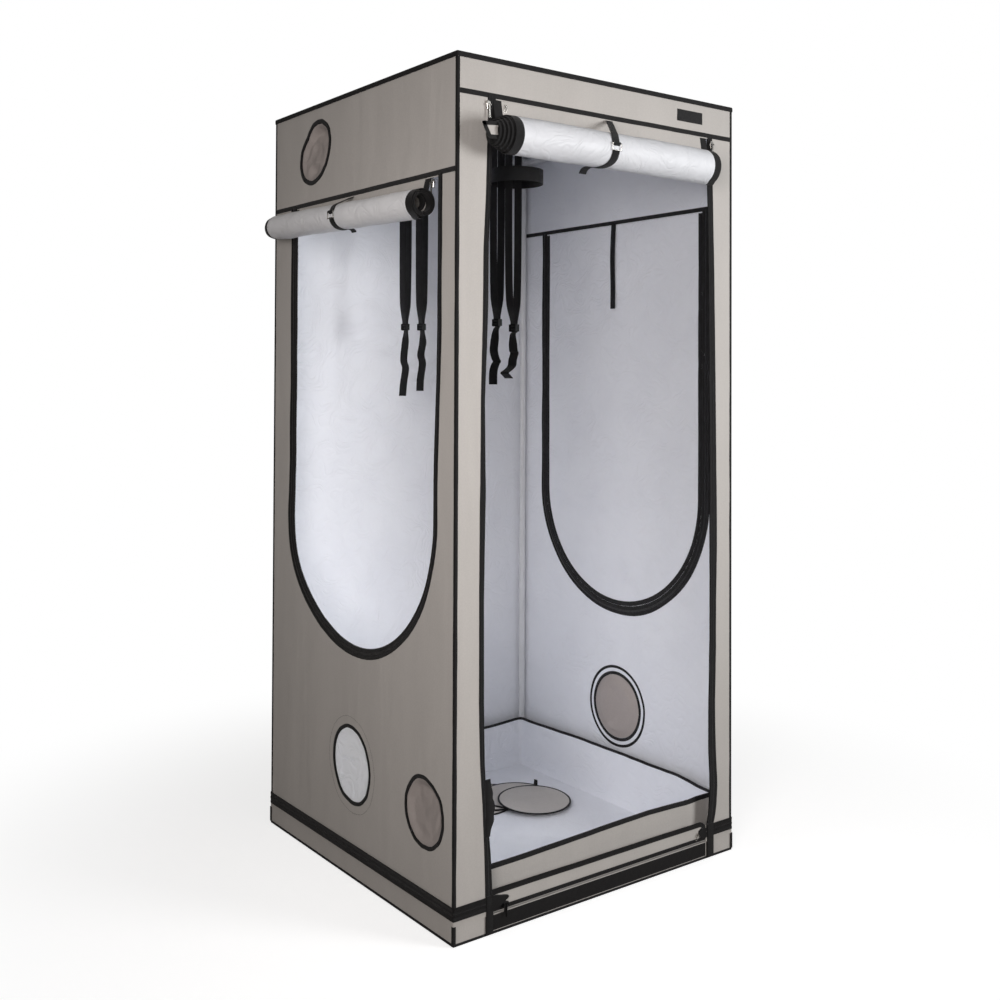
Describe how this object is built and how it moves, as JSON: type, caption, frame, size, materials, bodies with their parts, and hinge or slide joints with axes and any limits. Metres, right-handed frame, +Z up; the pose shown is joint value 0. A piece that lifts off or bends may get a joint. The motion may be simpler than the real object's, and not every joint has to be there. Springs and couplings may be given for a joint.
{
  "type": "indoor grow tent",
  "caption": "Tall square indoor grow tent with a tube frame, zipped fabric cover, rolled-up front and left doors, duct ports, hanging straps and a spill tray.",
  "frame": {"origin": "on the floor under the middle of the tent's square base", "axes": "+Z up, the front doorway faces -Y, the left doorway faces -X"},
  "size_m": [1.1027, 1.1256, 2.2],
  "materials": {
    "cover_cloth": "matte canvas weave",
    "lining": "white reflective lining",
    "webbing": "black woven tape",
    "coated_steel": "white powder coat",
    "connector": "moulded white plastic",
    "nickel": "nickel plate",
    "buckle": "moulded black plastic"
  },
  "bodies": {
    "tent": {"post_front_left": "coated_steel", "post_front_right": "coated_steel", "post_back_left": "coated_steel", "post_back_right": "coated_steel", "bottom_rail_front": "coated_steel", "bottom_rail_back": "coated_steel", "bottom_rail_left": "coated_steel", "bottom_rail_right": "coated_steel", "top_rail_front": "coated_steel", "top_rail_back": "coated_steel", "top_rail_left": "coated_steel", "top_rail_right": "coated_steel", "connector_bottom_front_left": "connector", "connector_bottom_front_right": "connector", "connector_bottom_back_left": "connector", "connector_bottom_back_right": "connector", "connector_top_front_left": "connector", "connector_top_front_right": "connector", "connector_top_back_left": "connector", "connector_top_back_right": "connector", "base_tub": "cover_cloth", "roof_panel": "cover_cloth", "front_wall": "cover_cloth", "back_wall": "cover_cloth", "left_wall": "cover_cloth", "right_wall": "cover_cloth", "left_lower_port_sleeve": "cover_cloth", "left_upper_port_sleeve": "cover_cloth", "right_port_sleeve": "cover_cloth"},
    "left_bar": {"ceiling_bar_left": "coated_steel"},
    "right_bar": {"ceiling_bar_right": "coated_steel"},
    "front_sling": {"hanging_strap_front_a": "webbing", "hanging_strap_front_b": "webbing", "belt": "webbing"},
    "back_strap_a": {"hanging_strap_back_a": "webbing"},
    "back_strap_b": {"hanging_strap_back_b": "webbing"},
    "lock_front_a": {"ladder_lock_front_a": "buckle"},
    "lock_front_b": {"ladder_lock_front_b": "buckle"},
    "lock_back_a": {"ladder_lock_back_a": "buckle"},
    "lock_back_b": {"ladder_lock_back_b": "buckle"},
    "front_roll": {"front_door_roll": "lining", "front_roll_strap": "webbing"},
    "front_ring": {"front_roll_ring": "nickel"},
    "left_roll": {"left_door_roll": "lining", "left_roll_strap": "webbing"},
    "left_ring": {"left_roll_ring": "nickel"},
    "right_side_door": {"right_door": "cover_cloth"},
    "door_tie": {"right_door_tie": "webbing"},
    "front_left_slider": {"zip_slider_front_left": "nickel"},
    "front_left_pull": {"zip_pull_front_left": "nickel"},
    "front_right_slider": {"zip_slider_front_right": "nickel"},
    "front_right_pull": {"zip_pull_front_right": "nickel"},
    "left_door_slider": {"zip_slider_left_door": "nickel"},
    "left_door_pull": {"zip_pull_left_door": "nickel"},
    "sill_slider": {"zip_slider_sill": "nickel"},
    "tray": {"spill_tray": "lining"},
    "cover_a": {"port_cover_a": "cover_cloth"},
    "cover_b": {"port_cover_b": "cover_cloth"},
    "cover_c": {"port_cover_c": "cover_cloth"},
    "cover_d": {"port_cover_d": "cover_cloth"}
  },
  "joints": [
    {"name": "left_bar_slide", "type": "slide", "parent": "tent", "child": "left_bar", "axis": [1, 0, 0], "range_m": [-0.25, 0.12]},
    {"name": "right_bar_slide", "type": "slide", "parent": "tent", "child": "right_bar", "axis": [1, 0, 0], "range_m": [-0.12, 0.25]},
    {"name": "front_sling_swing", "type": "hinge", "parent": "left_bar", "child": "front_sling", "pos_m": [-0.145, -0.234, 2.18], "axis": [0, 1, 0], "range_deg": [-20, 20]},
    {"name": "back_strap_a_swing", "type": "hinge", "parent": "left_bar", "child": "back_strap_a", "pos_m": [-0.145, 0.2, 2.18], "axis": [0, 1, 0], "range_deg": [-20, 20]},
    {"name": "back_strap_b_swing", "type": "hinge", "parent": "left_bar", "child": "back_strap_b", "pos_m": [-0.145, 0.295, 2.18], "axis": [0, 1, 0], "range_deg": [-20, 20]},
    {"name": "lock_front_a_slide", "type": "slide", "parent": "front_sling", "child": "lock_front_a", "axis": [0, 0, 1], "range_m": [0, 0.28]},
    {"name": "lock_front_b_slide", "type": "slide", "parent": "front_sling", "child": "lock_front_b", "axis": [0, 0, 1], "range_m": [0, 0.28]},
    {"name": "lock_back_a_slide", "type": "slide", "parent": "back_strap_a", "child": "lock_back_a", "axis": [0, 0, 1], "range_m": [0, 0.28]},
    {"name": "lock_back_b_slide", "type": "slide", "parent": "back_strap_b", "child": "lock_back_b", "axis": [0, 0, 1], "range_m": [0, 0.28]},
    {"name": "front_roll_swing", "type": "hinge", "parent": "tent", "child": "front_roll", "pos_m": [0, -0.5, 2.0997], "axis": [-1, 0, 0], "range_deg": [0, 25]},
    {"name": "front_ring_swing", "type": "hinge", "parent": "front_roll", "child": "front_ring", "pos_m": [-0.073, -0.61902, 2.0097], "axis": [-1, 0, 0], "range_deg": [0, 60]},
    {"name": "left_roll_swing", "type": "hinge", "parent": "tent", "child": "left_roll", "pos_m": [-0.5, 0, 1.9047], "axis": [0, 1, 0], "range_deg": [0, 25]},
    {"name": "left_ring_swing", "type": "hinge", "parent": "left_roll", "child": "left_ring", "pos_m": [-0.59608, -0.03, 1.84991], "axis": [0, 1, 0], "range_deg": [0, 60]},
    {"name": "right_door_swing", "type": "hinge", "parent": "tent", "child": "right_side_door", "pos_m": [0.5012, -0.01, 1.9047], "axis": [0, -1, 0], "range_deg": [0, 85]},
    {"name": "door_tie_swing", "type": "hinge", "parent": "tent", "child": "door_tie", "pos_m": [0.49575, 0.012, 1.913], "axis": [0, 1, 0], "range_deg": [0, 60]},
    {"name": "front_left_slider_run", "type": "slide", "parent": "tent", "child": "front_left_slider", "axis": [0, 0, -1], "range_m": [0, 1.94]},
    {"name": "front_left_pull_swing", "type": "hinge", "parent": "front_left_slider", "child": "front_left_pull", "pos_m": [-0.4075, -0.5101, 2.083], "axis": [-1, 0, 0], "range_deg": [0, 100]},
    {"name": "front_right_slider_run", "type": "slide", "parent": "tent", "child": "front_right_slider", "axis": [0, 0, -1], "range_m": [0, 1.94]},
    {"name": "front_right_pull_swing", "type": "hinge", "parent": "front_right_slider", "child": "front_right_pull", "pos_m": [0.4075, -0.5101, 2.083], "axis": [-1, 0, 0], "range_deg": [0, 100]},
    {"name": "left_door_slider_run", "type": "slide", "parent": "tent", "child": "left_door_slider", "axis": [0, 0, -1], "range_m": [0, 0.85]},
    {"name": "left_door_pull_swing", "type": "hinge", "parent": "left_door_slider", "child": "left_door_pull", "pos_m": [-0.5101, -0.4, 1.888], "axis": [0, 1, 0], "range_deg": [0, 100]},
    {"name": "sill_slider_run", "type": "slide", "parent": "tent", "child": "sill_slider", "axis": [1, 0, 0], "range_m": [0, 0.66]},
    {"name": "tray_lift", "type": "slide", "parent": "tent", "child": "tray", "axis": [0, 0, 1], "range_m": [0, 0.1]},
    {"name": "cover_a_lift", "type": "slide", "parent": "tray", "child": "cover_a", "axis": [0, 0, 1], "range_m": [0, 0.15]},
    {"name": "cover_b_lift", "type": "slide", "parent": "cover_a", "child": "cover_b", "axis": [0, 0, 1], "range_m": [0, 0.15]},
    {"name": "cover_c_lift", "type": "slide", "parent": "cover_b", "child": "cover_c", "axis": [0, 0, 1], "range_m": [0, 0.15]},
    {"name": "cover_d_lift", "type": "slide", "parent": "cover_c", "child": "cover_d", "axis": [0, 0, 1], "range_m": [0, 0.15]}
  ]
}
